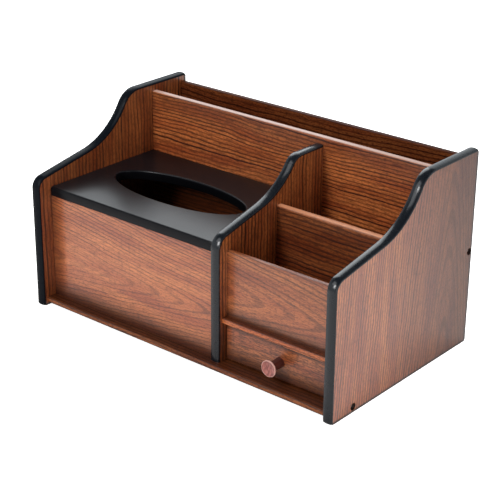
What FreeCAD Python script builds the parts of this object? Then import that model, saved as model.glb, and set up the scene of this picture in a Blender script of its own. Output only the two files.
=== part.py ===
import FreeCAD, Part
import math
import os

# A desk tissue box with letter slot, two pockets and a drawer, in millimetres.
# +X is to the right seen from the front, +Y to the rear, +Z up.
# The origin is on the table, under the middle of the case.

# Overall size.
case_width = 330.0
case_depth = 190.0
side_height = 174.5

# Board thicknesses, each with its foil.
side_board = 9.0
cross_board = 6.5
thin_board = 5.0
lid_board = 8.3
drawer_board = 5.0
hardboard = 2.7

# Outline of the side panels: an upright front, a gentle slope and an S up to the level top.
front_height = 120.0
side_slope = 10.5
side_rise = 58.0
side_rise_from_front = 91.0
side_front_radius = 11.0
side_hollow_radius = 70.0
side_top_radius = 23.0

# Outline of the middle divider, a smaller S inside the sides.
divider_setback = 9.8
divider_front_drop = 3.5
divider_top_drop = 13.5
divider_slope = 13.5
divider_rise = 52.0
divider_rise_from_front = 78.2
divider_front_radius = 13.0
divider_hollow_radius = 70.0
divider_top_radius = 16.0

# Edge band: a domed T section, its barb pushed into a kerf in the middle of the board's edge.
band_thickness = 2.2
band_round = 2.0
band_end_round = 1.4
heel_round = 2.0
barb_thickness = 1.6
barb_depth = 6.0
kerf_slack = 0.2

# Base, back and long divider.
base_lift = 2.5
base_setback = 4.5
back_inset = 0.5
back_drop = 7.5
letter_slot = 32.0
groove_depth = 2.5
divider_groove_depth = 2.0
eased_edge = 1.4
thin_eased_edge = 1.1
panel_eased_edge = 0.55

# Tissue bay.
tissue_bay_width = 188.9
tissue_front_setback = 14.8
lid_drop = 9.3
lid_overhang = 0.6
lid_side_gap = 0.6
lid_rear_gap = 0.6
lid_top_round = 1.6
oval_length = 144.0
oval_width = 55.6
oval_shift = -2.0
oval_edge_round = 1.6
batten_size = 8.0

# Pockets and shelf.
shelf_top = 46.8
shelf_setback = 14.8
pocket_front_setback = 20.6
pocket_front_drop = 15.6
front_pocket_depth = 57.4
pocket_divider_rise = 4.6

# Drawer.
drawer_setback = 19.0
drawer_side_gap = 1.5
drawer_front_gap = 1.3
drawer_running_gap = 0.3
drawer_rear_gap = 4.0
drawer_headroom = 6.0
drawer_front_lip = 2.0
drawer_groove_depth = 2.0
drawer_bottom_lift = 3.5

# Knob.
knob_diameter = 15.0
knob_stem_diameter = 9.2
knob_length = 15.0
knob_head_length = 4.6
knob_edge = 1.3
knob_dish = 1.3
knob_rim = 1.1

# Fasteners.
screw_diameter = 3.0
screw_head_diameter = 5.8
screw_head_height = 1.9
screw_length = 22.0
screw_recess_diameter = 6.4
screw_recess_depth = 3.0
screw_slot_length = 3.6
screw_slot_width = 0.9
screw_slot_depth = 0.9
side_screw_from_front = 28.1
back_screw_height = 84.4
divider_screw_inset = 24.0
divider_screw_length = 18.0
knob_screw_length = 15.5
knob_screw_hole = 3.6
brad_diameter = 1.3
brad_length = 15.0
brad_inset = 7.0
back_brad_pitch = 90.0
back_brads = 4

# Tool cuts and comparisons.
cut_past = 1.0
same = 1e-4
arc_share = 0.98
band_flat = 0.6
screw_tip_radius = 0.3

# Planes that several boards share.
inner_x = case_width / 2 - side_board
front_y = -case_depth / 2
rear_y = case_depth / 2
back_rear_y = rear_y - back_inset
back_front_y = back_rear_y - cross_board
long_rear_y = back_front_y - letter_slot
long_front_y = long_rear_y - cross_board
base_top = base_lift + thin_board
back_top = side_height - back_drop

divider_left_x = -inner_x + tissue_bay_width
divider_right_x = divider_left_x + side_board
divider_front_y = front_y + divider_setback
divider_top = side_height - divider_top_drop

tissue_front_y = front_y + tissue_front_setback
lid_top = front_height - lid_drop
lid_bottom = lid_top - lid_board

shelf_front_y = front_y + shelf_setback
shelf_bottom = shelf_top - thin_board
pocket_front_y = front_y + pocket_front_setback
pocket_divider_y = pocket_front_y + thin_board + front_pocket_depth
pocket_front_top = front_height - pocket_front_drop
pocket_divider_top = front_height + pocket_divider_rise

drawer_y = front_y + drawer_setback
drawer_rear_y = long_front_y - drawer_rear_gap
drawer_left_x = divider_right_x + drawer_side_gap
drawer_right_x = inner_x - drawer_side_gap
drawer_floor = base_top + drawer_running_gap
drawer_rim = shelf_bottom - drawer_headroom
drawer_inner_y = drawer_y + cross_board
knob_x = (drawer_left_x + drawer_right_x) / 2
knob_z = (base_top + shelf_bottom) / 2


def vec(x, y, z):
    return FreeCAD.Vector(x, y, z)


def board(x0, x1, y0, y1, z0, z1):
    """A board between two values on each axis."""
    return Part.makeBox(x1 - x0, y1 - y0, z1 - z0, vec(x0, y0, z0))


def cylinder(radius, start, end):
    """A round bar from one point to another."""
    run = end - start
    return Part.makeCylinder(radius, run.Length, start, run)


def edges_along(shape, axis, place):
    """Straight edges along an axis whose middle agrees with the given coordinates."""
    found = []
    for edge in shape.Edges:
        run = edge.Vertexes[-1].Point - edge.Vertexes[0].Point
        if run.Length < same or abs(getattr(run, axis)) < run.Length - same:
            continue
        middle = edge.BoundBox.Center
        if all(abs(getattr(middle, name) - value) < same for name, value in place.items()):
            found.append(edge)
    return found


def eased(shape, radius, *places):
    """Rounds the edges along X that pass through the given (y, z) places."""
    edges = [edge for y, z in places for edge in edges_along(shape, "x", {"y": y, "z": z})]
    return shape.makeFillet(radius, edges)


# Outlines of the shaped boards, in the YZ plane.


def s_corners(front, corner_z, slope, rise_y, rise, top, end):
    """Corner points of an S outline, from the foot of its front edge to the end of its top."""
    slope_tan = math.tan(math.radians(slope))
    rise_tan = math.tan(math.radians(rise))
    rise_z = corner_z + slope_tan * (rise_y - front)
    top_y = rise_y + (top - rise_z) / rise_tan
    return [vec(0, front, 0), vec(0, front, corner_z), vec(0, rise_y, rise_z),
            vec(0, top_y, top), vec(0, end, top)]


def turn_at(corners, index):
    """Half the turn at a corner, in radians, negative where the outline is hollow."""
    before = (corners[index] - corners[index - 1]).normalize()
    after = (corners[index + 1] - corners[index]).normalize()
    half = before.getAngle(after) / 2
    return half if before.cross(after).x < 0 else -half


def fitted_radii(corners, radii):
    """The radii, each limited so that its arc and its neighbours' fit the runs between corners."""
    lengths = [(b - a).Length for a, b in zip(corners, corners[1:])]
    reach = [0.0] + [r * math.tan(abs(turn_at(corners, i + 1))) for i, r in enumerate(radii)] + [0.0]
    share = [length * arc_share / max(reach[i] + reach[i + 1], same)
             for i, length in enumerate(lengths)]
    return [r * min(1.0, share[i], share[i + 1]) for i, r in enumerate(radii)]


def inset_corners(corners, inset):
    """The corner points of the same outline, moved into the board by an inset."""
    runs = [(b - a).normalize() for a, b in zip(corners, corners[1:])]
    inward = [vec(0, run.z, -run.y) for run in runs]
    moved = [corners[0] + inward[0] * inset]
    for index in range(1, len(corners) - 1):
        bisector = inward[index - 1] + inward[index]
        moved.append(corners[index] + bisector * (2 * inset / bisector.Length ** 2))
    moved.append(corners[-1] + inward[-1] * inset)
    return moved


def s_edges(corners, radii, inset):
    """Lines and arcs of the outline at an inset, in order from the foot to the end of the top."""
    points = inset_corners(corners, inset)
    fitted = fitted_radii(corners, radii)
    edges = []
    start = points[0]
    for index in range(1, len(points) - 1):
        half = turn_at(corners, index)
        radius = max(fitted[index - 1] - math.copysign(inset, half), 0.0)
        before = (points[index] - points[index - 1]).normalize()
        after = (points[index + 1] - points[index]).normalize()
        reach = radius * math.tan(abs(half))
        arc_start = points[index] - before * reach
        arc_end = points[index] + after * reach
        edges.append(Part.makeLine(start, arc_start))
        if radius > 0:
            towards = (after - before).normalize()
            centre = points[index] + towards * (radius / math.cos(half))
            middle = centre - towards * radius
            edges.append(Part.Arc(arc_start, middle, arc_end).toShape())
        start = arc_end
    edges.append(Part.makeLine(start, points[-1]))
    return edges


def extruded(edges, x0, x1):
    """The face inside a closed chain of edges in the YZ plane, extruded between two x values."""
    wire = Part.Wire(edges)
    wire.translate(vec(x0, 0, 0))
    return Part.Face(wire).extrude(vec(x1 - x0, 0, 0))


def strip(outline, inner, outer, x0, x1):
    """The strip of a board between two insets of its outline."""
    first = s_edges(*outline, inner)
    second = s_edges(*outline, outer)
    close_top = Part.makeLine(first[-1].Vertexes[-1].Point, second[-1].Vertexes[-1].Point)
    close_foot = Part.makeLine(second[0].Vertexes[0].Point, first[0].Vertexes[0].Point)
    return extruded(Part.sortEdges(first + [close_top] + second + [close_foot])[0], x0, x1)


side_outline = (
    s_corners(front_y, front_height, side_slope, front_y + side_rise_from_front, side_rise,
              side_height, rear_y),
    [side_front_radius, side_hollow_radius, side_top_radius],
)
divider_outline = (
    s_corners(divider_front_y, front_height - divider_front_drop, divider_slope,
              divider_front_y + divider_rise_from_front, divider_rise, divider_top, long_front_y),
    [divider_front_radius, divider_hollow_radius, divider_top_radius],
)


def shaped_board(outline, x0, x1, foot, rear):
    """A shaped board inside its edge band, with the kerf for the band's barb."""
    edges = s_edges(*outline, band_thickness)
    top_end = edges[-1].Vertexes[-1].Point
    toe = edges[0].Vertexes[0].Point
    corners = [vec(0, rear, top_end.z), vec(0, rear, toe.z), toe]
    if rear > top_end.y:
        edges.append(Part.makeLine(top_end, corners[0]))
    edges += [Part.makeLine(a, b) for a, b in zip(corners, corners[1:])]
    body = extruded(edges, x0, x1)
    middle = (x0 + x1) / 2
    kerf_bottom = band_thickness + barb_depth + kerf_slack
    kerf = strip(outline, band_thickness, kerf_bottom, middle - barb_thickness / 2,
                 middle + barb_thickness / 2)
    body = body.cut(kerf)
    if foot > 0:
        body = body.cut(board(x0 - cut_past, x1 + cut_past, front_y, rear_y, -cut_past, foot))
    return body


def edge_band(outline, x0, x1, foot, end_round):
    """A band that wraps the front and top of a board: domed face outside, barb inside."""
    face = strip(outline, 0.0, band_thickness, x0, x1)
    crown = Part.Wire(s_edges(*outline, 0.0))
    long_edges = []
    for x in (x0, x1):
        rim = crown.translated(vec(x, 0, 0))
        for edge in face.Edges:
            middle = edge.valueAt((edge.FirstParameter + edge.LastParameter) / 2)
            if rim.distToShape(Part.Vertex(middle))[0] < same and edge.Length > band_thickness + same:
                run = edge.Vertexes[-1].Point - edge.Vertexes[0].Point
                if abs(run.x) < same:
                    long_edges.append(edge)
    band = face.makeFillet(min(band_round, (x1 - x0 - band_flat) / 2), long_edges)
    if end_round:
        toe, top_end = outline[0][0], outline[0][-1]
        end_edges = [edge for edge in band.Edges
                     if abs(edge.BoundBox.YMin - top_end.y) < same
                     and abs(edge.BoundBox.YMax - top_end.y) < same
                     and edge.BoundBox.ZMin > top_end.z - band_round - same
                     and edge.BoundBox.ZMax > top_end.z - band_round + same]
        end_edges += [edge for edge in band.Edges
                      if abs(edge.BoundBox.ZMin - toe.z) < same
                      and abs(edge.BoundBox.ZMax - toe.z) < same
                      and edge.BoundBox.YMax < toe.y + band_round + same]
        band = band.makeFillet(end_round, end_edges)
    middle = (x0 + x1) / 2
    barb = strip(outline, band_thickness, band_thickness + barb_depth,
                 middle - barb_thickness / 2, middle + barb_thickness / 2)
    band = band.fuse(barb).removeSplitter()
    if foot > 0:
        band = band.cut(board(x0 - cut_past, x1 + cut_past, front_y, rear_y, -cut_past, foot))
    return band


# Fasteners.


def screw(head_face, direction, length):
    """A countersunk screw with a cross recess, its head's face at a point."""
    radius = screw_diameter / 2
    head = Part.makeCone(screw_head_diameter / 2, radius, screw_head_height, head_face, direction)
    tip_start = head_face + direction * (length - 2 * radius)
    shank = cylinder(radius, head_face, tip_start)
    tip = Part.makeCone(radius, screw_tip_radius, 2 * radius, tip_start, direction)
    body = head.fuse([shank, tip]).removeSplitter()
    across = vec(direction.y, direction.z, direction.x)
    for side in (across, direction.cross(across)):
        other = direction.cross(side)
        corner = head_face - side * (screw_slot_length / 2) - other * (screw_slot_width / 2)
        points = [corner, corner + side * screw_slot_length,
                  corner + side * screw_slot_length + other * screw_slot_width,
                  corner + other * screw_slot_width, corner]
        slot = Part.Face(Part.makePolygon(points)).extrude(direction * screw_slot_depth)
        body = body.cut(slot)
    return body


def screw_hole(surface, direction, length, recess):
    """The hole for a screw driven from a surface, its head sunk to the recess depth."""
    head_face = surface + direction * recess
    radius = screw_diameter / 2
    head = Part.makeCone(screw_head_diameter / 2, radius, screw_head_height, head_face, direction)
    parts = [cylinder(radius, head_face, head_face + direction * length)]
    if recess > 0:
        recess_start = surface - direction * cut_past
        parts.append(cylinder(screw_recess_diameter / 2, recess_start, head_face))
    return head.fuse(parts)


def brad(face, direction, length):
    """A headless brad nail, driven in flush with a face."""
    return cylinder(brad_diameter / 2, face, face + direction * length)


def side_screw_places(side):
    """Where the two screws of a side panel go in: base edge and back edge."""
    outer_x = side * case_width / 2
    return [vec(outer_x, front_y + side_screw_from_front, (base_lift + base_top) / 2),
            vec(outer_x, (back_front_y + back_rear_y) / 2, back_screw_height)]


def side_screws(side):
    """The two screws of a side panel."""
    inward = vec(-side, 0, 0)
    return [screw(place + inward * screw_recess_depth, inward, screw_length)
            for place in side_screw_places(side)]


def side_screw_holes(side):
    inward = vec(-side, 0, 0)
    return [screw_hole(place, inward, screw_length, screw_recess_depth)
            for place in side_screw_places(side)]


divider_screw_places = [
    vec((divider_left_x + divider_right_x) / 2, y, base_lift)
    for y in (divider_front_y + divider_screw_inset, long_front_y - divider_screw_inset)
]
divider_screw_holes = [screw_hole(place, vec(0, 0, 1), divider_screw_length, 0.0)
                       for place in divider_screw_places]

back_brad_places = [
    vec((index - (back_brads - 1) / 2) * back_brad_pitch, back_rear_y, (base_lift + base_top) / 2)
    for index in range(back_brads)
]


def drawer_brad_places():
    """Brads through both drawer sides into the front and the back, with their directions."""
    places = []
    front_row = drawer_y + (drawer_front_lip + cross_board) / 2
    back_row = drawer_rear_y - drawer_board / 2
    low = drawer_floor + brad_inset
    high = drawer_rim - brad_inset
    for x, direction in ((drawer_left_x, 1), (drawer_right_x, -1)):
        for y in (front_row, back_row):
            for z in (low, high):
                places.append((vec(x, y, z), vec(direction, 0, 0)))
    return places


drawer_brads = [brad(place, direction, brad_length) for place, direction in drawer_brad_places()]
back_panel_brads = [brad(place, vec(0, -1, 0), brad_length) for place in back_brad_places]


# Case boards.


def tissue_front_panel_blank():
    return board(-inner_x - groove_depth, divider_left_x + groove_depth,
                 tissue_front_y, tissue_front_y + cross_board, base_top, lid_bottom)


def tissue_front_panel():
    """Stands on the base in grooves of the left side and the divider, and carries the lid."""
    return eased(tissue_front_panel_blank(), panel_eased_edge, (tissue_front_y, lid_bottom))


def long_divider_blank():
    return board(-inner_x - groove_depth, inner_x + groove_depth,
                 long_front_y, long_rear_y, base_top, back_top)


def pocket_front_blank():
    return board(divider_right_x - groove_depth, inner_x + groove_depth,
                 pocket_front_y, pocket_front_y + thin_board, shelf_top, pocket_front_top)


def pocket_divider_blank():
    return board(divider_right_x - groove_depth, inner_x + groove_depth,
                 pocket_divider_y, pocket_divider_y + cross_board, shelf_top, pocket_divider_top)


def shelf_blank():
    return board(divider_right_x - groove_depth, inner_x + groove_depth,
                 shelf_front_y, long_front_y, shelf_bottom, shelf_top)


def side_panel_blank(x0, x1):
    """A side panel before its grooves and holes, its heel rounded off."""
    panel = shaped_board(side_outline, x0, x1, 0.0, rear_y)
    return eased(panel, heel_round, (rear_y, 0.0))


def left_side_panel():
    panel = side_panel_blank(-case_width / 2, -inner_x)
    return panel.cut([tissue_front_panel_blank(), long_divider_blank()] + side_screw_holes(-1))


def right_side_panel():
    panel = side_panel_blank(inner_x, case_width / 2)
    boards = [long_divider_blank(), pocket_front_blank(), pocket_divider_blank(), shelf_blank()]
    return panel.cut(boards + side_screw_holes(1))


def middle_divider():
    """The shaped board between the tissue bay and the pockets, let into the long divider."""
    panel = shaped_board(divider_outline, divider_left_x, divider_right_x, base_top,
                         long_front_y + divider_groove_depth)
    boards = [tissue_front_panel_blank(), pocket_front_blank(), pocket_divider_blank(),
              shelf_blank()]
    return panel.cut(boards + divider_screw_holes)


def long_divider():
    """Front wall of the letter slot, with a groove for the middle divider."""
    panel = eased(long_divider_blank(), eased_edge, (long_front_y, back_top), (long_rear_y, back_top))
    groove = board(divider_left_x, divider_right_x, long_front_y,
                   long_front_y + divider_groove_depth, base_top, divider_top - band_thickness)
    return panel.cut(groove)


def back_panel():
    """Closes the rear between the sides and covers the rear edge of the base."""
    panel = board(-inner_x, inner_x, back_front_y, back_rear_y, base_lift, back_top)
    panel = eased(panel, eased_edge, (back_front_y, back_top), (back_rear_y, back_top))
    return panel.cut(side_screw_holes(-1) + side_screw_holes(1) + back_panel_brads)


def base_board():
    """Floor of the whole case, lifted clear of the table between the side panels."""
    base_front_y = front_y + base_setback
    panel = board(-inner_x, inner_x, base_front_y, back_front_y, base_lift, base_top)
    panel = eased(panel, thin_eased_edge, (base_front_y, base_top), (base_front_y, base_lift))
    holes = side_screw_holes(-1) + side_screw_holes(1) + divider_screw_holes + back_panel_brads
    return panel.cut(holes)


def lid_rest_batten():
    """Strip on the long divider that carries the rear edge of the lid."""
    return board(-inner_x, divider_left_x, long_front_y - batten_size, long_front_y,
                 lid_bottom - batten_size, lid_bottom)


def pocket_front_panel():
    rear = pocket_front_y + thin_board
    return eased(pocket_front_blank(), thin_eased_edge,
                 (pocket_front_y, pocket_front_top), (rear, pocket_front_top))


def pocket_divider():
    rear = pocket_divider_y + cross_board
    return eased(pocket_divider_blank(), eased_edge,
                 (pocket_divider_y, pocket_divider_top), (rear, pocket_divider_top))


def drawer_shelf():
    """Roof of the drawer bay and floor of the two pockets."""
    return eased(shelf_blank(), thin_eased_edge,
                 (shelf_front_y, shelf_top), (shelf_front_y, shelf_bottom))


# Lid.


def tissue_lid():
    """Loose lid with an oval opening, its upper edges and the rim of the oval rounded."""
    x0 = -inner_x + lid_side_gap
    x1 = divider_left_x - lid_side_gap
    y0 = tissue_front_y - lid_overhang
    y1 = long_front_y - lid_rear_gap
    lid = board(x0, x1, y0, y1, lid_bottom, lid_top)
    centre = vec((x0 + x1) / 2 + oval_shift, (y0 + y1) / 2, lid_bottom)
    oval = Part.Ellipse(centre, oval_length / 2, oval_width / 2).toShape()
    lid = lid.cut(Part.Face(Part.Wire(oval)).extrude(vec(0, 0, lid_board)))
    front = edges_along(lid, "x", {"y": y0, "z": lid_top})
    lid = lid.makeFillet(lid_top_round, front)
    others = [edge for edge in lid.Edges
              if abs(edge.BoundBox.ZMin - lid_top) < same and edge.BoundBox.ZMax < lid_top + same
              and edge.Curve.TypeId == "Part::GeomEllipse"]
    return lid.makeFillet(oval_edge_round, others)


# Drawer.


def drawer_bottom():
    """Hardboard bottom, let into a groove round the inside of the drawer."""
    z0 = drawer_floor + drawer_bottom_lift
    return board(drawer_left_x + drawer_board - drawer_groove_depth,
                 drawer_right_x - drawer_board + drawer_groove_depth,
                 drawer_inner_y - drawer_groove_depth,
                 drawer_rear_y - drawer_board + drawer_groove_depth, z0, z0 + hardboard)


def drawer_side(x0):
    side = board(x0, x0 + drawer_board, drawer_y + drawer_front_lip, drawer_rear_y,
                 drawer_floor, drawer_rim)
    return side.cut([drawer_bottom()] + drawer_brads)


def drawer_back():
    back = board(drawer_left_x + drawer_board, drawer_right_x - drawer_board,
                 drawer_rear_y - drawer_board, drawer_rear_y,
                 drawer_floor, drawer_rim)
    return back.cut([drawer_bottom()] + drawer_brads)


def drawer_front():
    """Front board, rebated at both ends so that its lips cover the ends of the sides."""
    z0 = base_top + drawer_front_gap
    z1 = shelf_bottom - drawer_front_gap
    front = board(drawer_left_x, drawer_right_x, drawer_y, drawer_inner_y, z0, z1)
    rebate_y = drawer_y + drawer_front_lip
    rebates = [board(x, x + drawer_board, rebate_y, drawer_inner_y, z0, z1)
               for x in (drawer_left_x, drawer_right_x - drawer_board)]
    front = front.cut(rebates)
    front = eased(front, thin_eased_edge, (drawer_y, z0), (drawer_y, z1))
    hole = cylinder(knob_screw_hole / 2, vec(knob_x, drawer_y - cut_past, knob_z),
                    vec(knob_x, drawer_inner_y + cut_past, knob_z))
    return front.cut([drawer_bottom(), hole] + drawer_brads)


def edges_of_circle(shape, y):
    """The closed circular edges of a shape at a y value."""
    return [edge for edge in shape.Edges
            if abs(edge.BoundBox.YMin - y) < same and abs(edge.BoundBox.YMax - y) < same]


def knob_screw():
    """Pan-head screw from inside the drawer through its front into the knob."""
    radius = screw_diameter / 2
    seat = vec(knob_x, drawer_inner_y, knob_z)
    shank = cylinder(radius, seat, seat - vec(0, knob_screw_length, 0))
    head = cylinder(screw_head_diameter / 2, seat, seat + vec(0, screw_head_height, 0))
    rim = edges_of_circle(head, seat.y + screw_head_height)
    return head.makeFillet(screw_head_height / 2, rim).fuse(shank).removeSplitter()


def drawer_knob():
    """Turned knob: straight stem, hollow neck, thin rim and a dished face."""
    stem = knob_stem_diameter / 2
    rim = knob_diameter / 2
    neck = knob_length - knob_head_length
    rim_start = knob_length - knob_edge
    bevel = knob_rim / 2
    hollow = 1 - math.sqrt(0.5)

    def at(radius, length):
        return vec(radius, -length, 0)

    neck_middle = at(stem + (rim - stem) * hollow, rim_start - (rim_start - neck) * hollow)
    edges = [
        Part.makeLine(at(0, 0), at(stem, 0)),
        Part.makeLine(at(stem, 0), at(stem, neck)),
        Part.Arc(at(stem, neck), neck_middle, at(rim, rim_start)).toShape(),
        Part.makeLine(at(rim, rim_start), at(rim, knob_length - bevel)),
        Part.makeLine(at(rim, knob_length - bevel), at(rim - bevel, knob_length)),
        Part.makeLine(at(rim - bevel, knob_length), at(0, knob_length)),
        Part.makeLine(at(0, knob_length), at(0, 0)),
    ]
    knob = Part.Face(Part.Wire(edges)).revolve(vec(0, 0, 0), vec(0, 1, 0), 360)
    dish = rim - knob_rim
    dish_radius = (dish ** 2 + knob_dish ** 2) / (2 * knob_dish)
    ball = Part.makeSphere(dish_radius, at(0, knob_length - knob_dish + dish_radius))
    hole = cylinder(screw_diameter / 2, at(0, -cut_past), at(0, knob_screw_length - cross_board))
    knob = knob.cut([ball, hole])
    knob.translate(vec(knob_x, drawer_y, knob_z))
    return knob


def drawer_parts():
    return {
        "drawer_front": drawer_front(),
        "drawer_left_side": drawer_side(drawer_left_x),
        "drawer_right_side": drawer_side(drawer_right_x - drawer_board),
        "drawer_back": drawer_back(),
        "drawer_bottom": drawer_bottom(),
        "drawer_brads": Part.makeCompound(drawer_brads),
        "drawer_knob": drawer_knob(),
        "knob_screw": knob_screw(),
    }


def case_parts():
    half = case_width / 2
    return {
        "left_side_panel": left_side_panel(),
        "right_side_panel": right_side_panel(),
        "middle_divider": middle_divider(),
        "left_edge_band": edge_band(side_outline, -half, -inner_x, 0.0, band_end_round),
        "right_edge_band": edge_band(side_outline, inner_x, half, 0.0, band_end_round),
        "divider_edge_band": edge_band(divider_outline, divider_left_x, divider_right_x,
                                       base_top, 0.0),
        "base_board": base_board(),
        "back_panel": back_panel(),
        "long_divider": long_divider(),
        "tissue_front_panel": tissue_front_panel(),
        "lid_rest_batten": lid_rest_batten(),
        "pocket_front_panel": pocket_front_panel(),
        "pocket_divider": pocket_divider(),
        "drawer_shelf": drawer_shelf(),
        "left_side_screws": Part.makeCompound(side_screws(-1)),
        "right_side_screws": Part.makeCompound(side_screws(1)),
        "divider_screws": Part.makeCompound([screw(place, vec(0, 0, 1), divider_screw_length)
                                             for place in divider_screw_places]),
        "back_panel_brads": Part.makeCompound(back_panel_brads),
    }


def main():
    os.makedirs("parts", exist_ok=True)
    parts = {**case_parts(), "tissue_lid": tissue_lid(), **drawer_parts()}
    for name, shape in parts.items():
        shape.exportStep(f"parts/{name}.step")
        print(f"{name}: {len(shape.Solids)} solids, {shape.Volume:.1f} mm3, valid {shape.isValid()}")


main()
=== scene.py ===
import math

import bmesh
import bpy
from mathutils import Matrix, Vector


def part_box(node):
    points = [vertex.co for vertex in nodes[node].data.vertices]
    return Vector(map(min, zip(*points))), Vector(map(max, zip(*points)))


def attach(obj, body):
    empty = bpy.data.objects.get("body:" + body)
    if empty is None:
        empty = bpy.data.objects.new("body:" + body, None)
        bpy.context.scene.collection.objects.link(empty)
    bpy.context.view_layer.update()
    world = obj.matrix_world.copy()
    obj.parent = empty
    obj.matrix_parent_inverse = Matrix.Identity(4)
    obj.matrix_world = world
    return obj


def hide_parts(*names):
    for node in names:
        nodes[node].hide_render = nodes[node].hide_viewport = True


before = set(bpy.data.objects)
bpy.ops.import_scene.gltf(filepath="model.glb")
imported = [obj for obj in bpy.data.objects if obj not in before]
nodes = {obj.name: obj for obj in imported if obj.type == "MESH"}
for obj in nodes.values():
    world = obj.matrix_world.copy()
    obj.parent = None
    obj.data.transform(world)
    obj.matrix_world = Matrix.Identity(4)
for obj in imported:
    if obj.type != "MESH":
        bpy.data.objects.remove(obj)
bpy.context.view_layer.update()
scene = bpy.context.scene
mm = 0.001
tiny = 1e-6  # points nearer than this are the same point
print("frame loaded:", len(nodes), "pieces")

# camera, lamps, sky and floor

cameraView = {"azimuth": 39.739, "elevation": 23.612, "roll": 0.553, "distance": 1.23899,
              "aimHeight": 0.080, "across": 0.002842, "upwards": -0.010506,
              "lens": 104.2095, "sensor": 36.0}


def placeCamera(view):
    turn = (Matrix.Rotation(math.radians(view["azimuth"]), 4, "Z")
            @ Matrix.Rotation(math.radians(90 - view["elevation"]), 4, "X"))
    data = bpy.data.cameras.new("camera")
    data.lens = view["lens"]
    data.sensor_width = view["sensor"]
    camera = bpy.data.objects.new("camera", data)
    scene.collection.objects.link(camera)
    offset = turn @ Vector((view["across"], view["upwards"], view["distance"]))
    camera.matrix_world = (Matrix.Translation(offset + Vector((0, 0, view["aimHeight"])))
                           @ turn @ Matrix.Rotation(math.radians(view["roll"]), 4, "Z"))
    scene.camera = camera


placeCamera(cameraView)

scene.view_settings.view_transform = "Standard"

noTint = (1.0, 1.0, 1.0)
lamps = {
    "topLamp": {"place": (0.15, 0.32, 1.42), "size": (0.70, 0.70), "power": 21.0, "tint": noTint},
    "frontLamp": {"place": (-0.55, -1.30, 0.26), "size": (1.30, 1.30), "power": 0.6, "tint": noTint},
    "rightLamp": {"place": (0.90, -0.50, 0.16), "size": (0.40, 0.40), "power": 2.0, "tint": (1, 0.99, 0.97)},
    "bendLamp": {"place": (-0.19, -1.37, 0.98), "size": (0.32, 0.62), "power": 15.0, "tint": noTint},
    "riseLamp": {"place": (-0.42, -0.82, 1.13), "size": (0.66, 0.66), "power": 4.2, "tint": (0.96, 0.98, 1)},
    "rearLamp": {"place": (-0.55, 0.50, 0.66), "size": (0.55, 0.55), "power": 2.6, "tint": (0.92, 0.97, 1)},
}
unmirrored = {"topLamp"}  # lights the object, but glossy faces don't show it
mirroredOnly = {"riseLamp"}  # seen in glossy faces, and lights nothing else
lampAim = Vector((0.0, 0.0, 0.07))

for lampName, lamp in lamps.items():
    data = bpy.data.lights.new(lampName, "AREA")
    data.shape = "RECTANGLE"
    data.size, data.size_y = lamp["size"]
    data.energy = lamp["power"]
    data.color = lamp["tint"]
    lampObject = bpy.data.objects.new(lampName, data)
    scene.collection.objects.link(lampObject)
    lampObject.location = lamp["place"]
    lampObject.visible_camera = False
    lampObject.visible_glossy = lampName not in unmirrored
    lampObject.visible_diffuse = lampName not in mirroredOnly
    lampObject.rotation_euler = (lampAim - lampObject.location).to_track_quat("-Z", "Y").to_euler()


# finishes: node arithmetic written as Python expressions


class Wire:
    # an output socket that takes part in Python arithmetic
    def __init__(self, tree, socket):
        self.tree = tree
        self.socket = socket

    def math(self, operation, *values):
        return addNode(self.tree, "Math", {"operation": operation}, dict(enumerate(values)))

    def also(self, output):
        return Wire(self.tree, self.socket.node.outputs[output])

    def __add__(self, other):
        return self.math("ADD", self, other)

    def __sub__(self, other):
        return self.math("SUBTRACT", self, other)

    def __rsub__(self, other):
        return self.math("SUBTRACT", other, self)

    def __mul__(self, other):
        return self.math("MULTIPLY", self, other)

    def __truediv__(self, other):
        return self.math("DIVIDE", self, other)

    def __pow__(self, other):
        return self.math("POWER", self, other)

    __radd__ = __add__
    __rmul__ = __mul__


def addNode(tree, kind, settings=None, values=None, output=0):
    node = tree.nodes.new("ShaderNode" + kind)
    for name, value in (settings or {}).items():
        setattr(node, name, value)
    for name, value in (values or {}).items():
        if isinstance(value, Wire):
            tree.links.new(value.socket, node.inputs[name])
        else:
            node.inputs[name].default_value = value
    return Wire(tree, node.outputs[output])


class Finish:
    def __init__(self, name, constants):
        self.material = bpy.data.materials.new(name)
        self.material.use_nodes = True
        self.tree = self.material.node_tree
        self.shader = self.tree.nodes["Principled BSDF"]
        for socket, value in constants.items():
            self.shader.inputs[socket].default_value = value
        self.place = self.add("TexCoord", output="Object")
        self.x = self.add("SeparateXYZ", values={0: self.place})
        self.y = self.x.also("Y")
        self.z = self.x.also("Z")

    def add(self, kind, settings=None, values=None, output=0):
        return addNode(self.tree, kind, settings, values, output)

    def noise(self, vector, scale=1.0, detail=3.0, roughness=0.5):
        return self.add("TexNoise", values={"Vector": vector, "Scale": scale, "Detail": detail,
                                            "Roughness": roughness})

    def stretch(self, along, across, depth):
        return self.add("CombineXYZ", values={0: along, 1: across, 2: depth})

    def step(self, value, low, high, toLow=0.0, toHigh=1.0):
        return self.add("MapRange", {"interpolation_type": "SMOOTHSTEP"},
                        {0: value, 1: low, 2: high, 3: toLow, 4: toHigh})

    def mix(self, factor, first, second):
        # the Mix node's colours are sockets 6 and 7, and its colour result is output 2
        return self.add("Mix", {"data_type": "RGBA"}, {0: factor, 6: first, 7: second}, 2)

    def feed(self, socket, wire):
        self.tree.links.new(wire.socket, self.shader.inputs[socket])

    def bump(self, height, strength, distance):
        self.feed("Normal", self.add("Bump", values={"Strength": strength, "Distance": distance,
                                                     "Height": height}))


def colour(red, green, blue):
    return (red, green, blue, 1.0)


floorLook = {"halfSize": 3.0, "shade": 0.86, "roughness": 0.9, "ownLight": 0.80, "inGloss": 0.15}
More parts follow.
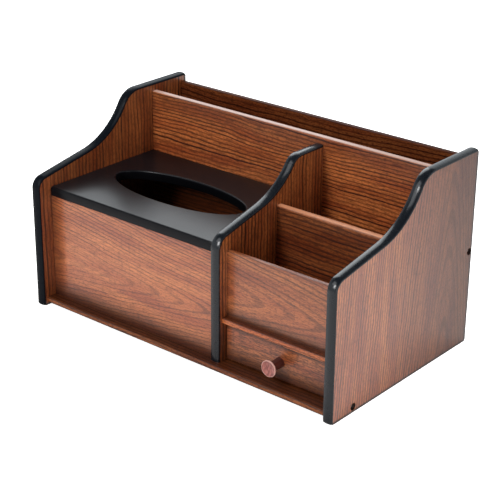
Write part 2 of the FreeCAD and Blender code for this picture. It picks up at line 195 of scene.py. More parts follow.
# glossy faces see a white backdrop all round, and above it a ceiling that darkens between two heights
skyLook = {"onObject": 0.20, "seen": 1.0, "inGloss": colour(0.90, 0.96, 1.0),
           "ceilingFrom": 0.42, "ceilingFull": 0.70, "ceilingLight": 0.15}


def makeSky(look):
    world = bpy.data.worlds.new("sky")
    scene.world = world
    world.use_nodes = True
    tree = world.node_tree
    seen = addNode(tree, "LightPath", output="Is Camera Ray")
    gloss = seen.also("Is Glossy Ray")
    seen = seen.math("MAXIMUM", seen.math("MAXIMUM", seen, gloss), seen.also("Is Transmission Ray"))
    plain = colour(1, 1, 1)
    tint = addNode(tree, "Mix", {"data_type": "RGBA"}, {0: gloss, 6: plain, 7: look["inGloss"]}, 2)
    light = addNode(tree, "Background", values={"Color": plain, "Strength": look["onObject"]})
    direction = addNode(tree, "TexCoord", output="Generated")
    height = addNode(tree, "SeparateXYZ", values={0: direction}, output="Z")
    above = addNode(tree, "MapRange", {"interpolation_type": "SMOOTHSTEP"},
                    {0: height, 1: look["ceilingFrom"], 2: look["ceilingFull"],
                     3: 0.0, 4: 1.0 - look["ceilingLight"]})
    strength = (1.0 - gloss * above) * look["seen"]
    white = addNode(tree, "Background", values={"Color": tint, "Strength": strength})
    both = addNode(tree, "MixShader", values={0: seen, 1: light, 2: white})
    tree.links.new(both.socket, tree.nodes["World Output"].inputs["Surface"])


def makeFloor(look):
    bm = bmesh.new()
    bmesh.ops.create_grid(bm, x_segments=1, y_segments=1, size=look["halfSize"])
    mesh = bpy.data.meshes.new("floor")
    bm.to_mesh(mesh)
    bm.free()
    floor = bpy.data.objects.new("floor", mesh)
    scene.collection.objects.link(floor)
    shade = look["shade"]
    finish = Finish("paleFloor", {"Base Color": colour(shade, shade, shade), "Roughness": look["roughness"],
                                  "Specular IOR Level": 0.0, "Emission Strength": 1.0})
    seen = finish.add("LightPath", output="Is Camera Ray")
    seen = seen.math("MAXIMUM", seen, seen.also("Is Transmission Ray"))
    gloss = finish.add("LightPath", output="Is Glossy Ray")
    finish.feed("Emission Color", seen * look["ownLight"] + gloss * look["inGloss"])
    mesh.materials.append(finish.material)


makeSky(skyLook)
makeFloor(floorLook)
print("camera, lamps, sky and floor placed")


# wood foil: printed growth rings, fibres and pores under a satin film

woodTones = {"light": colour(0.62, 0.185, 0.052), "red": colour(0.39, 0.086, 0.024),
             "dark": colour(0.016, 0.004, 0.002), "paleTop": colour(0.32, 0.20, 0.16),
             "peach": colour(0.62, 0.30, 0.17)}

# what all the boards share. A noise has its stretch along and across the grain, seed shift and detail
foilPrint = {"sway": (5, 14, 0, 2.0), "ripple": (40, 90, 7, 2.0), "patch": (1, 260, 3, 3.0),
             "fibre": (90, 900, 11, 3.0), "pore": (330, 1100, 17, 1.0), "broad": (9, 75, 23, 3.0),
             "swayReach": 0.014, "rippleReach": 0.0026,
             "lineFade": 0.22, "lineEnd": (0.93, 1.0, 1.0, 0.0), "palest": 0.45,
             "patches": (0.26, 0.46, 0.70, 1.0), "coreWidth": 0.05, "fibreFrom": (0.46, 0.60),
             "poreFrom": (0.52, 0.60), "lightFrom": (0.30, 0.70),
             "ior": 1.5, "coatIor": 1.55, "coatRoughness": 0.17,
             "roughness": 0.26, "toneRoughness": 0.14, "broadRoughness": 0.08,
             "lineDepth": 0.3, "fibreDepth": 0.5, "relief": 0.3, "reliefSize": 0.0001,
             "paleTopFrom": 0.0006, "paleTopFull": 0.0001, "boreFrom": 0.0004, "boreEnd": 0.0001, "boreFade": 1.1,
             "rearRim": (0.0030, 0.0016), "footRim": (0.0012, 0.0026), "rimPaint": 0.95}

# what one board can change. Rings spread across the grain from the heart, and taper along it from the tip:
# bow rounds the innermost ones, core fades them, and each ring's line starts at the fraction from.
# A painted shade is an axis, two places on it and the darkness painted at each, where the board lies in
# shade
defaultGrain = {"grain": "x", "heart": 0.3, "tip": 0.0, "taper": 0.0, "bow": 0.02, "spacing": 0.0040,
                "core": 1.0, "from": 0.56, "run": 18, "lines": 1.0, "fibres": 0.38, "pores": 0.50,
                "depth": 1.0, "coat": 0.6, "gloss": 0.5, "paintedShades": [], "paleTopEdge": None,
                "paleTopTone": "paleTop", "boreShade": None, "darkRims": None}

# painted shade: the inside of the tissue bay, between the faces that look into it, is painted darker
bayShade = {"x": (-0.1575, 0.0344), "y": (-0.0752, 0.0510), "z": (0.0, 0.1018), "edge": 0.001,
             "amount": 0.8}


def grainAxes(finish, grain):
    # the direction of the grain, and the other two taken together
    axes = {"x": finish.x, "y": finish.y, "z": finish.z}
    along = axes.pop(grain)
    first, second = axes.values()
    return along, first + second


def grainMarks(finish, look, along, across):
    # ring lines, fibres, pores and a broad change of tone, each from 0 to 1
    def drawn(layer, run, spread):
        stretchRun, stretchSpread, shift, detail = foilPrint[layer]
        vector = finish.stretch(run * stretchRun, spread * stretchSpread, look["seed"] + shift)
        return finish.noise(vector, detail=detail)

    sway = drawn("sway", along, across) - 0.5
    ripple = drawn("ripple", along, across) - 0.5
    bent = across + sway * foilPrint["swayReach"] + ripple * foilPrint["rippleReach"]
    offCentre = bent - look["heart"]
    ring = (offCentre * offCentre + look["bow"] ** 2) ** 0.5
    phase = (ring - (along - look["tip"]) * look["taper"]) / look["spacing"]
    saw = phase.math("FRACT", phase)
    ringTone = finish.add("TexWhiteNoise", {"noise_dimensions": "1D"}, {"W": phase.math("FLOOR", phase)})
    line = finish.step(saw, look["from"], look["from"] + foilPrint["lineFade"])
    line = line * finish.step(saw, *foilPrint["lineEnd"])
    line = line * (foilPrint["palest"] + (1.0 - foilPrint["palest"]) * ringTone)
    line = line * finish.step(drawn("patch", along * look["run"], bent), *foilPrint["patches"])
    line = line * finish.step(ring, look["bow"], look["bow"] + foilPrint["coreWidth"], look["core"], 1.0)
    fibre = finish.step(drawn("fibre", along, bent), *foilPrint["fibreFrom"])
    pore = finish.step(drawn("pore", along, bent), *foilPrint["poreFrom"])
    return line, fibre, pore, drawn("broad", along, bent)


def woodFoil(name, changes):
    look = {**defaultGrain, **changes}
    finish = Finish(name, {"IOR": foilPrint["ior"], "Specular IOR Level": look["gloss"],
                           "Coat IOR": foilPrint["coatIor"], "Coat Roughness": foilPrint["coatRoughness"],
                           "Coat Weight": look["coat"]})
    line, fibre, pore, broad = grainMarks(finish, look, *grainAxes(finish, look["grain"]))
    clear = (1.0 - line * look["lines"]) * (1.0 - fibre * look["fibres"]) * (1.0 - pore * look["pores"])
    tone = 1.0 - clear
    paint = finish.mix(finish.step(broad, *foilPrint["lightFrom"]), woodTones["red"], woodTones["light"])
    paint = finish.mix(tone, paint, woodTones["dark"])
    # depth darkens the whole board: partly its own deeper tone, partly painted shade on boards that lie in
    # shade
    paint = finish.mix(1.0 - look["depth"], paint, woodTones["dark"])
    varnish = look["coat"]
    places = {"x": finish.x, "y": finish.y, "z": finish.z, "side": finish.x.math("ABSOLUTE", finish.x)}
    for axis, first, last, atFirst, atLast in look["paintedShades"]:
        # painted shade: darker and less varnished towards one edge or on one face, where shade falls
        shade = finish.step(places[axis], first, last, atFirst, atLast)
        paint = finish.mix(shade, paint, woodTones["dark"])
        varnish = (1.0 - shade) * varnish
    # painted shade: the tissue bay's inside is darkened, as little light gets in through the oval
    inBayShade, edge = bayShade["amount"], bayShade["edge"]
    for axis in "xyz":
        near, far = bayShade[axis]
        inBayShade = finish.step(places[axis], near - edge, near) * inBayShade
        inBayShade = finish.step(places[axis], far, far + edge, 1.0, 0.0) * inBayShade
    paint = finish.mix(inBayShade, paint, woodTones["dark"])
    # painted highlight: the top edge is painted paler where it catches the light from above; on the long
    # divider the foil there is paler as well
    if look["paleTopEdge"]:
        top, amount = look["paleTopEdge"]
        paleTop = finish.step(finish.z, top - foilPrint["paleTopFrom"], top - foilPrint["paleTopFull"]) * amount
        paint = finish.mix(paleTop, paint, woodTones[look["paleTopTone"]])
    if look["boreShade"]:
        # painted shade: the bore of each sunk screw is painted dark behind the outer face
        face, radius, holes = look["boreShade"]
        inside = finish.step(places["side"], face - foilPrint["boreFrom"], face - foilPrint["boreEnd"],
                             1.0, 0.0)
        for y, z in holes:
            far = ((finish.y - y) * (finish.y - y) + (finish.z - z) * (finish.z - z)) ** 0.5
            hole = inside * finish.step(far, radius, radius * foilPrint["boreFade"], 1.0, 0.0)
            paint = finish.mix(hole, paint, woodTones["dark"])
    if look["darkRims"]:
        # the panel's rear and bottom edges are painted near black
        rear, foot = look["darkRims"]
        rearFrom, rearFull = foilPrint["rearRim"]
        footFull, footEnd = foilPrint["footRim"]
        rim = finish.step(finish.y, rear - rearFrom, rear - rearFull)
        rim = rim.math("MAXIMUM", rim, finish.step(finish.z, foot + footFull, foot + footEnd, 1.0, 0.0))
        paint = finish.mix(rim * foilPrint["rimPaint"], paint, woodTones["dark"])
        varnish = (1.0 - rim) * varnish
    if isinstance(varnish, Wire):
        finish.feed("Coat Weight", varnish)
    finish.feed("Base Color", paint)
    finish.feed("Roughness", foilPrint["roughness"] + tone * foilPrint["toneRoughness"]
                + broad * foilPrint["broadRoughness"])
    finish.bump(1.0 - (line * foilPrint["lineDepth"] + fibre * foilPrint["fibreDepth"] + pore),
                foilPrint["relief"], foilPrint["reliefSize"])
    return finish.material


# both side panels: painted shade in the bores of the two screws and on the inner face, and rear and bottom
# edges painted near black
sidePanel = {"grain": "z", "boreShade": (0.165, 0.0034, [(-0.0669, 0.0050), (0.09125, 0.0844)]),
             "darkRims": (0.095, 0.0)}
innerFaceShade = ("side", 0.1563, 0.1568, 0.4, 0.0)
# each board's list of shades is painted shade: darker at feet, under overhangs, in corners and on faces and
# ends that get less light
boardGrain = {
    "left_side_panel": {**sidePanel, "seed": 1.0, "heart": -0.32, "from": 0.50, "run": 12, "pores": 0.36,
                        "depth": 0.95, "coat": 0.4, "paintedShades": [innerFaceShade]},
    "right_side_panel": {**sidePanel, "seed": 2.0, "heart": 0.225, "tip": 0.09, "taper": -0.10, "bow": 0.018,
                         "spacing": 0.0032, "core": 0.45, "from": 0.50, "run": 10, "lines": 0.92,
                         "fibres": 0.32, "pores": 0.32, "gloss": 0.4,
                         "paintedShades": [("y", -0.06, 0.092, 0.02, 0.72), innerFaceShade]},
    "middle_divider": {"grain": "z", "seed": 3.0, "from": 0.46, "run": 12, "pores": 0.45, "depth": 0.72,
                       "coat": 0.3, "paintedShades": [("z", 0.030, 0.052, 0.5, 0.0)]},
    "tissue_front_panel": {"seed": 4.0, "heart": -0.0332, "tip": 0.018, "taper": -0.11, "bow": 0.008,
                           "spacing": 0.0031, "core": 0.58, "from": 0.57, "run": 12, "lines": 0.90,
                           "fibres": 0.30, "pores": 0.35, "depth": 0.87, "coat": 0.38,
                           "paintedShades": [("z", 0.008, 0.030, 0.8, 0.0), ("x", -0.156, -0.138, 0.5, 0.0)]},
    "long_divider": {"seed": 5.0, "spacing": 0.0034, "from": 0.46, "run": 11, "fibres": 0.42, "pores": 0.36,
                     "coat": 0.2, "gloss": 0.3, "paleTopEdge": (0.167, 0.9),
                     "paintedShades": [("z", 0.140, 0.166, 0.0, 0.4)]},
    "back_panel": {"seed": 6.0, "depth": 0.29, "coat": 0.0, "gloss": 0.02,
                   "paintedShades": [("z", 0.1655, 0.167, 0.0, 0.75)]},
    "base_board": {"seed": 7.0, "depth": 0.42, "coat": 0.1, "gloss": 0.2,
                   "paintedShades": [("z", 0.0028, 0.0042, 1.0, 0.0), ("z", 0.0064, 0.0071, 0.0, 0.5)]},
    "pocket_front_panel": {"seed": 8.0, "heart": -0.0064, "tip": 0.128, "taper": -0.13, "bow": 0.010,
                           "core": 0.48, "from": 0.54, "run": 11, "fibres": 0.32, "pores": 0.42,
                           "depth": 0.70, "coat": 0.26,
                           "paintedShades": [("z", 0.0474, 0.0600, 0.72, 0.0), ("z", 0.1034, 0.1042, 0.0, 0.4),
                                      ("z", 0.070, 0.095, 0.0, 0.12)]},
    "pocket_divider": {"seed": 9.0, "from": 0.48, "run": 11, "fibres": 0.45, "pores": 0.40, "depth": 0.68,
                       "coat": 0.22, "gloss": 0.4, "paleTopEdge": (0.1246, 0.42), "paleTopTone": "peach",
                       "paintedShades": [("z", 0.120, 0.1242, 0.35, 0.2)]},
    "drawer_shelf": {"seed": 10.0, "lines": 0.6, "coat": 0.2, "gloss": 0.3,
                     "paintedShades": [("z", 0.0458, 0.0464, 0.0, 0.68)]},
    "drawer_front": {"seed": 11.0, "heart": 0.0, "tip": 0.2, "taper": -0.1, "spacing": 0.006, "lines": 0.4,
                     "fibres": 0.55, "pores": 0.55, "depth": 0.66, "coat": 0.22,
                     "paintedShades": [("z", 0.009, 0.029, 0.76, 0.0), ("z", 0.0355, 0.0392, 0.0, 0.7),
                                ("x", 0.125, 0.156, 0.0, 0.3)]},
    "drawer_left_side": {"grain": "y", "seed": 12.0},
    "drawer_right_side": {"grain": "y", "seed": 13.0},
    "drawer_back": {"seed": 14.0},
}

# black finishes. In every look below, relief is the bump's strength and reliefSize its height in metres

plasticLook = {"dark": colour(0.002, 0.003, 0.005), "light": colour(0.004, 0.0055, 0.008),
               "streaks": 260.0, "peel": 900.0, "specular": 0.10, "coat": 0.5, "coatRoughness": 0.15,
               "roughness": 0.24, "uneven": 0.08, "streakShare": 0.6, "relief": 0.2, "reliefSize": 0.0002}


def blackPlastic(name, gloss):
    look = plasticLook
    finish = Finish(name, {"IOR": 1.5, "Specular IOR Level": look["specular"] * gloss,
                           "Coat Weight": look["coat"] * gloss, "Coat IOR": 1.5,
                           "Coat Roughness": look["coatRoughness"]})
    streaks = finish.noise(finish.place, look["streaks"])
    peel = finish.noise(finish.place, look["peel"], detail=2.0)
    finish.feed("Base Color", finish.mix(streaks, look["dark"], look["light"]))
    finish.feed("Roughness", look["roughness"] + streaks * look["uneven"])
    finish.bump(streaks * look["streakShare"] + peel * (1.0 - look["streakShare"]),
                look["relief"], look["reliefSize"])
    return finish.material


lacquerLook = {"dark": colour(0.002, 0.002, 0.003), "light": colour(0.004, 0.004, 0.005),
               "grit": 1600.0, "cloud": 30.0, "specular": 0.05, "coatRoughness": 0.27,
               "coatSides": 0.12, "coatTop": 0.34, "topFrom": 0.0012, "topFull": 0.0001,
               "roughness": 0.24, "uneven": 0.05, "relief": 0.15, "reliefSize": 0.0001}


def blackLacquer(look, top):
    finish = Finish("blackLidLacquer", {"IOR": 1.5, "Specular IOR Level": look["specular"], "Coat IOR": 1.5,
                                        "Coat Roughness": look["coatRoughness"]})
    grit = finish.noise(finish.place, look["grit"], detail=2.0)
    cloud = finish.noise(finish.place, look["cloud"])
    finish.feed("Base Color", finish.mix(cloud, look["dark"], look["light"]))
    finish.feed("Roughness", look["roughness"] + cloud * look["uneven"] + grit * look["uneven"])
    # the flat top is glossier than the edges
    finish.feed("Coat Weight", finish.step(finish.z, top - look["topFrom"], top - look["topFull"],
                                           look["coatSides"], look["coatTop"]))
    finish.bump(grit, look["relief"], look["reliefSize"])
    return finish.material


# places on the knob in metres: its middle in x and z, its face and neck in y, and as radii the face's rim,
# painted pale as a painted highlight
knobLook = {"middle": (0.09895, 0.02465), "face": -0.0898, "neck": -0.0868, "rim": 0.0062, "edge": 0.0069,
            "shade": (0.0240, 0.0308), "shadeAmount": 0.65, "rimHighlightAmount": 0.65, "stemShadeAmount": 0.85,
            "light": colour(0.36, 0.105, 0.080), "dark": colour(0.17, 0.035, 0.026),
            "shadeTone": colour(0.13, 0.016, 0.012), "rimHighlightTone": colour(0.78, 0.48, 0.41),
            "stemShadeTone": colour(0.045, 0.008, 0.006), "grain": (900, 90, 260), "toolMarks": 2600,
            "darkFrom": (0.38, 0.62), "specular": 0.3, "coat": 0.5, "stemCoat": 0.15, "coatRoughness": 0.15,
            "roughness": 0.30, "uneven": 0.12, "markShare": 0.6, "relief": 0.3, "reliefSize": 0.0001}


def knobVarnish(look):
    finish = Finish("knobVarnish", {"IOR": 1.5, "Specular IOR Level": look["specular"],
                                    "Coat Roughness": look["coatRoughness"]})
    grainX, grainY, grainZ = look["grain"]
    fine = finish.noise(finish.stretch(finish.x * grainX, finish.y * grainY, finish.z * grainZ))
    turned = finish.noise(finish.stretch(0.0, finish.y * look["toolMarks"], 0.0), detail=2.0)
    paint = finish.mix(finish.step(fine, *look["darkFrom"]), look["light"], look["dark"])
    # painted shade: the knob is painted darker towards its top
    shade = finish.step(finish.z, *look["shade"], 0.0, look["shadeAmount"])
    paint = finish.mix(shade, paint, look["shadeTone"])
    offX, offZ = finish.x - look["middle"][0], finish.z - look["middle"][1]
    outward = (offX * offX + offZ * offZ) ** 0.5
    # painted highlight: a pale ring on the rim of the face
    rim = finish.step(outward, look["rim"], look["edge"], 0.0, look["rimHighlightAmount"])
    paint = finish.mix(rim, paint, look["rimHighlightTone"])
    # painted shade: the stem is painted near black, as it is turned away from the light
    stem = finish.step(finish.y, look["face"], look["neck"])
    paint = finish.mix(stem * look["stemShadeAmount"], paint, look["stemShadeTone"])
    finish.feed("Base Color", paint)
    finish.feed("Coat Weight", look["coat"] - stem * (look["coat"] - look["stemCoat"]))
    finish.feed("Roughness", look["roughness"] + fine * look["uneven"])
    marks = turned * look["markShare"] + fine * (1.0 - look["markShare"])
    finish.bump(marks, look["relief"], look["reliefSize"])
    return finish.material


# finishes of the parts inside

battenLook = {"grain": "x", "seed": 2.0, "light": colour(0.58, 0.42, 0.25), "dark": colour(0.36, 0.22, 0.11),
              "fibre": (30, 900), "band": (4, 90), "fibreFrom": (0.4, 0.75), "bandFrom": (0.35, 0.7),
              "roughness": 0.62, "uneven": 0.15, "relief": 0.4, "reliefSize": 0.0002}


def battenWood(look):
    finish = Finish("battenWood", {"IOR": 1.5})
    along, across = grainAxes(finish, look["grain"])
    fibreRun, fibreSpread = look["fibre"]
    bandRun, bandSpread = look["band"]
    seed = look["seed"]
    fibre = finish.noise(finish.stretch(along * fibreRun, across * fibreSpread, seed), detail=4.0)
    band = finish.noise(finish.stretch(along * bandRun, across * bandSpread, seed + 5), detail=2.0)
    tone = finish.step(fibre, *look["fibreFrom"]) * 0.5 + finish.step(band, *look["bandFrom"]) * 0.5
    finish.feed("Base Color", finish.mix(tone, look["light"], look["dark"]))
    finish.feed("Roughness", look["roughness"] + tone * look["uneven"])
    finish.bump(fibre, look["relief"], look["reliefSize"])
    return finish.material


hardboardLook = {"dark": colour(0.19, 0.105, 0.055), "light": colour(0.33, 0.20, 0.11), "felt": 700.0,
                 "cloud": 45.0, "feltDetail": 5.0, "feltRoughness": 0.7, "feltShare": 0.7,
                 "roughness": 0.70, "uneven": 0.15, "relief": 0.5, "reliefSize": 0.0002}


def hardboard(look):
    finish = Finish("hardboardSheet", {"IOR": 1.45})
    felt = finish.noise(finish.place, look["felt"], look["feltDetail"], look["feltRoughness"])
    cloud = finish.noise(finish.place, look["cloud"])
    tone = felt * look["feltShare"] + cloud * (1.0 - look["feltShare"])
    finish.feed("Base Color", finish.mix(tone, look["dark"], look["light"]))
    finish.feed("Roughness", look["roughness"] + felt * look["uneven"])
    finish.bump(felt, look["relief"], look["reliefSize"])
    return finish.material


steelLook = {"dark": colour(0.52, 0.52, 0.50), "light": colour(0.72, 0.71, 0.68), "cloud": 1200.0,
             "roughness": 0.28, "uneven": 0.2, "relief": 0.3, "reliefSize": 0.00005}


def zincSteel(look):
    finish = Finish("zincSteel", {"Metallic": 1.0})
    cloud = finish.noise(finish.place, look["cloud"])
    finish.feed("Base Color", finish.mix(cloud, look["dark"], look["light"]))
    finish.feed("Roughness", look["roughness"] + cloud * look["uneven"])
    finish.bump(cloud, look["relief"], look["reliefSize"])
    return finish.material


# modelled pieces


def addPiece(name, bm, body, material, node, sharpFrom=38, flatTops=False):
    # corners sharper than sharpFrom degrees stay hard, and so does the rim of a level face with flatTops
    bmesh.ops.remove_doubles(bm, verts=bm.verts, dist=tiny)
    bmesh.ops.recalc_face_normals(bm, faces=bm.faces)
    for face in bm.faces:
        face.smooth = True
    for edge in bm.edges:
        soft = edge.calc_face_angle(math.pi) < math.radians(sharpFrom)
        levelFaces = sum(face.normal.z > 1.0 - 10 * tiny for face in edge.link_faces)
        edge.smooth = soft and not (flatTops and levelFaces == 1)
    mesh = bpy.data.meshes.new(name)
    bm.to_mesh(mesh)
    bm.free()
    mesh.materials.append(material)
    piece = bpy.data.objects.new(name, mesh)
    scene.collection.objects.link(piece)
    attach(piece, body)
    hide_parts(node)


def newPoints(geometry):
    return [v for v in geometry if isinstance(v, bmesh.types.BMVert)]


def newEdges(geometry):
    return [e for e in geometry if isinstance(e, bmesh.types.BMEdge)]


# outlines of the boards from the side, in millimetres and degrees: the front edge's place and foot, the
# corner where the slope starts, where the rise starts, the top's height and end, and the three bends' radii
sideCurve = {"front": -95.0, "foot": 0.0, "corner": 120.0, "slope": 10.5, "riseAt": -4.0, "rise": 58.0,
             "top": 174.5, "end": 95.0, "radii": (11.0, 70.0, 23.0), "endRound": 1.4}
dividerCurve = {"front": -85.2, "foot": 7.5, "corner": 116.5, "slope": 13.5, "riseAt": -7.0, "rise": 52.0,
                "top": 161.0, "end": 49.5, "radii": (13.0, 70.0, 16.0), "endRound": 0.0}
bandSection = {"thickness": 2.2, "dome": 0.9, "domeSteps": 12, "round": 1.0, "roundSteps": 7,
               "barbWidth": 1.6, "barbDepth": 6.0, "turnSteps": (28, 32, 28), "endSteps": 5, "brace": 0.5}


def bandMoves(curve):
    # from the foot to the end of the top: a run has its length, and a turn its radius, degrees and steps
    slope, rise = math.radians(curve["slope"]), math.radians(curve["rise"])
    lift = curve["corner"] + math.tan(slope) * (curve["riseAt"] - curve["front"])
    corners = [Vector((curve["front"], curve["foot"])), Vector((curve["front"], curve["corner"])),
               Vector((curve["riseAt"], lift)),
               Vector((curve["riseAt"] + (curve["top"] - lift) / math.tan(rise), curve["top"])),
               Vector((curve["end"], curve["top"]))]
    turns = [curve["slope"] - 90, curve["rise"] - curve["slope"], -curve["rise"]]
    reach = [0] + [r * math.tan(math.radians(abs(t)) / 2) for r, t in zip(curve["radii"], turns)] + [0]
    moves = []
    for index, (first, second) in enumerate(zip(corners, corners[1:])):
        moves.append(("run", (second - first).length - reach[index] - reach[index + 1]))
        if index < 3:
            moves.append(("turn", curve["radii"][index], turns[index], bandSection["turnSteps"][index]))
    return moves


def pushOn(bm, loop, step):
    grown = bmesh.ops.extrude_edge_only(bm, edges=loop)["geom"]
    bmesh.ops.translate(bm, vec=step, verts=newPoints(grown))
    return newEdges(grown)


def roundOff(bm, loop, pivot, ahead, size, rounding):
    # each ring ahead is smaller by the same amount on every side of the pivot, so the end is rounded over
    steps, cut = bandSection["endSteps"], 0.0
    for step in range(1, steps + 1):
        bend, before = math.pi / 2 * step / steps, math.pi / 2 * (step - 1) / steps
        loop = pushOn(bm, loop, ahead * (rounding * (math.sin(bend) - math.sin(before))))
        now = rounding * (1 - math.cos(bend))
        narrower = [(side - now) / (side - cut) if side else 1.0 for side in size]
        bmesh.ops.scale(bm, vec=narrower, space=Matrix.Translation(-pivot),
                        verts=list({v for e in loop for v in e.verts}))
        cut = now
    return loop


def edgeBand(name, node, curve, gloss):
    section = bandSection
    domeSteps, brace = section["domeSteps"], section["brace"] * mm
    low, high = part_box(node)
    left, right, middle = low.x, high.x, (low.x + high.x) / 2
    thick, rounding = section["thickness"] * mm, curve["endRound"] * mm
    front, foot, top = curve["front"] * mm, curve["foot"] * mm, curve["top"] * mm
    inner, barbEnd = front + thick, front + thick + section["barbDepth"] * mm
    half = section["barbWidth"] * mm / 2
    bm = bmesh.new()
    # the section lies level at the foot: a shallow dome in front, and a barb that goes into the board
    outline = [(left + (right - left) * n / domeSteps,
                front + section["dome"] * mm * (2 * n / domeSteps - 1) ** 2)
               for n in range(domeSteps + 1)]
    outline += [(right, inner), (middle + half, inner), (middle + half, barbEnd),
                (middle - half, barbEnd), (middle - half, inner), (left, inner)]
    start = foot + rounding
    corners = [bm.verts.new((x, y, start)) for x, y in outline]
    bm.faces.new(corners)
    bmesh.ops.bevel(bm, geom=[corners[0], corners[domeSteps]], offset=section["round"] * mm,
                    segments=section["roundSteps"], profile=0.5, affect="VERTICES", material=-1)
    cap = bm.faces[:][0]
    loop = list(cap.edges)
    bmesh.ops.delete(bm, geom=[cap], context="FACES_ONLY")
    footLoop = loop
    if rounding:
        footLoop = roundOff(bm, loop, Vector((middle, inner, 0)), Vector((0, 0, -1)),
                            ((right - left) / 2, thick, 0), rounding)
    bmesh.ops.contextual_create(bm, geom=footLoop)
    cursor, heading = Vector((0, front, start)), 90.0
    moves = bandMoves(curve)
    for index, move in enumerate(moves):
        ahead = Vector((0, math.cos(math.radians(heading)), math.sin(math.radians(heading))))
        inward = Vector((0, ahead.z, -ahead.y))
        if move[0] == "run":
            # a short step at each end of a run keeps the shading of the bends off it
            length = move[1] * mm - (rounding if index in (0, len(moves) - 1) else 0)
            for part in (brace, length - 2 * brace, brace):
                loop = pushOn(bm, loop, ahead * part)
            cursor += ahead * length
        else:
            radius, turn, steps = move[1] * mm, math.radians(move[2]), move[3]
            centre = cursor + inward * (radius if turn < 0 else -radius)
            points = list({v for e in loop for v in e.verts})
            ring = bmesh.ops.spin(bm, geom=points + loop, cent=centre, axis=(1, 0, 0), angle=turn,
                                  steps=steps, use_merge=False)["geom_last"]
            loop = newEdges(ring)
            cursor = centre + Matrix.Rotation(turn, 3, "X") @ (cursor - centre)
            heading += move[2]
    if rounding:
        loop = roundOff(bm, loop, Vector((middle, 0, top - thick)), Vector((0, 1, 0)),
                        ((right - left) / 2, 0, thick), rounding)
    bmesh.ops.contextual_create(bm, geom=loop)
    addPiece(name, bm, "case", blackPlastic(name + "Plastic", gloss), node)


# each band's name, node, outline and share of the plastic's gloss
for band in (("leftEdgeBand", "left_edge_band", sideCurve, 0.18),
             ("rightEdgeBand", "right_edge_band", sideCurve, 1.0),
             ("dividerEdgeBand", "divider_edge_band", dividerCurve, 1.0)):
    edgeBand(*band)
print("edge bands swept")

# in millimetres. Edges that turn by more than ridgeFrom radians are rounded
lidShape = {"ovalLength": 144.0, "ovalWidth": 55.6, "ovalShift": -2.0, "ovalSteps": 128,
            "frontRound": 1.6, "frontRoundSteps": 6, "ovalRound": 1.0, "ovalRoundSteps": 4,
            "softEdge": 0.4, "softEdgeSteps": 2, "ridgeFrom": 1.0}


def tissueLid(look):
    low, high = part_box("tissue_lid")
    centre = Vector(((low.x + high.x) / 2 + look["ovalShift"] * mm, (low.y + high.y) / 2, high.z))
    bm = bmesh.new()
    oval = bmesh.ops.create_circle(bm, segments=look["ovalSteps"], radius=1.0, cap_ends=False)["verts"]
    bmesh.ops.scale(bm, vec=(look["ovalLength"] * mm / 2, look["ovalWidth"] * mm / 2, 1), verts=oval)
    bmesh.ops.translate(bm, vec=centre, verts=oval)
    rim = newPoints(bmesh.ops.extrude_edge_only(bm, edges=bm.edges[:])["geom"])
    for vertex in rim:
        # each point of the rim moves out along its own ray to the edge of the board
        ray = vertex.co - centre
        reach = [((high if ray[axis] > 0 else low)[axis] - centre[axis]) / ray[axis]
                 for axis in (0, 1) if abs(ray[axis]) > tiny]
        vertex.co = centre + ray * min(reach)
    for x in (low.x, high.x):
        for y in (low.y, high.y):
            corner = Vector((x, y, high.z))
            nearest = min(rim, key=lambda v: (v.co - corner).length)
            nearest.co = corner
    grown = bmesh.ops.extrude_face_region(bm, geom=bm.faces[:])["geom"]
    bmesh.ops.translate(bm, vec=(0, 0, low.z - high.z), verts=newPoints(grown))
    bmesh.ops.recalc_face_normals(bm, faces=bm.faces)

    def liesAt(edge, axis, place):
        return all(abs(v.co[axis] - place) < tiny for v in edge.verts)

    def onSides(edge):
        return any(abs(v.co[axis] - side[axis]) < tiny for v in edge.verts for axis in (0, 1)
                   for side in (low, high))

    ridges = [e for e in bm.edges if len(e.link_faces) == 2 and e.calc_face_angle() > look["ridgeFrom"]]
    front = [e for e in ridges if liesAt(e, 2, high.z) and liesAt(e, 1, low.y)]
    hole = [e for e in ridges if liesAt(e, 2, high.z) and not onSides(e)]
    soft = [e for e in ridges if e not in front and e not in hole]
    for edges, name in ((front, "frontRound"), (hole, "ovalRound"), (soft, "softEdge")):
        edges = [e for e in edges if e.is_valid]  # a bevel before may have taken one away
        bmesh.ops.bevel(bm, geom=edges, offset=look[name] * mm, segments=look[name + "Steps"], profile=0.5,
                        affect="EDGES", material=-1)
    addPiece("tissueLid", bm, "lid", blackLacquer(lacquerLook, high.z), "tissue_lid",
             flatTops=True)


tissueLid(lidShape)
print("lid modelled")

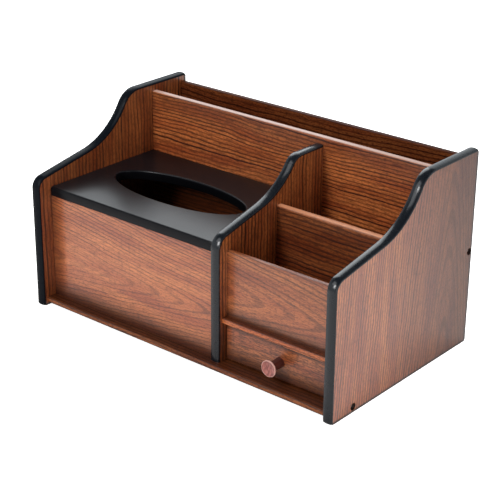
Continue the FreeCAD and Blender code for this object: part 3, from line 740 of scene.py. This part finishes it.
# radii and places along the knob from the drawer's front, in millimetres
knobShape = {"stem": 4.4, "rim": 7.05, "neckAt": 10.4, "rimAt": 13.7, "length": 15.0, "flareSteps": 6,
             "edge": 0.45, "edgeCut": 0.3, "lip": 1.1, "lipDrop": 0.05, "dish": 1.3,
             "dishRings": (0.88, 0.75, 0.6, 0.4, 0.2), "bore": 1.5, "boreDepth": 9.0, "turnSteps": 96,
             "sharpFrom": 30}


def turnedKnob(look):
    low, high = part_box("drawer_knob")
    axis = Vector(((low.x + high.x) / 2, high.y, (low.z + high.z) / 2))
    stem, rim, length, edge = look["stem"], look["rim"], look["length"], look["edge"]
    neckAt, flare, cut = look["neckAt"], look["rimAt"] - look["neckAt"], edge * look["edgeCut"]
    bends = [math.radians(90 / look["flareSteps"] * n) for n in range(1, look["flareSteps"])]
    profile = [(0, look["boreDepth"]), (look["bore"], look["boreDepth"]), (look["bore"], 0),
               (stem, 0), (stem, neckAt)]
    profile += [(stem + (rim - stem) * (1 - math.cos(a)), neckAt + flare * math.sin(a)) for a in bends]
    profile += [(rim, look["rimAt"]), (rim, length - edge), (rim - cut, length - cut), (rim - edge, length),
                (rim - look["lip"], length - look["lipDrop"])]
    profile += [((rim - look["lip"]) * s, length - look["dish"] * (1 - s * s)) for s in look["dishRings"]]
    profile.append((0, length - look["dish"]))
    bm = bmesh.new()
    points = [bm.verts.new((axis.x + r * mm, axis.y - l * mm, axis.z)) for r, l in profile]
    edges = [bm.edges.new(pair) for pair in zip(points, points[1:])]
    bmesh.ops.spin(bm, geom=points + edges, cent=axis, axis=(0, 1, 0), angle=math.tau,
                   steps=look["turnSteps"], use_merge=True)
    addPiece("drawerKnob", bm, "drawer", knobVarnish(knobLook), "drawer_knob",
             sharpFrom=look["sharpFrom"])


turnedKnob(knobShape)
print("knob turned")

# boards and small parts keep their solids and get their finishes

for nodeName, look in boardGrain.items():
    nodes[nodeName].data.materials[0] = woodFoil(nodeName + "Foil", look)
nodes["lid_rest_batten"].data.materials[0] = battenWood(battenLook)
nodes["drawer_bottom"].data.materials[0] = hardboard(hardboardLook)
steel = zincSteel(steelLook)
for nodeName in ("left_side_screws", "right_side_screws", "divider_screws", "knob_screw", "drawer_brads",
                 "back_panel_brads"):
    nodes[nodeName].data.materials[0] = steel
print("finishes given")
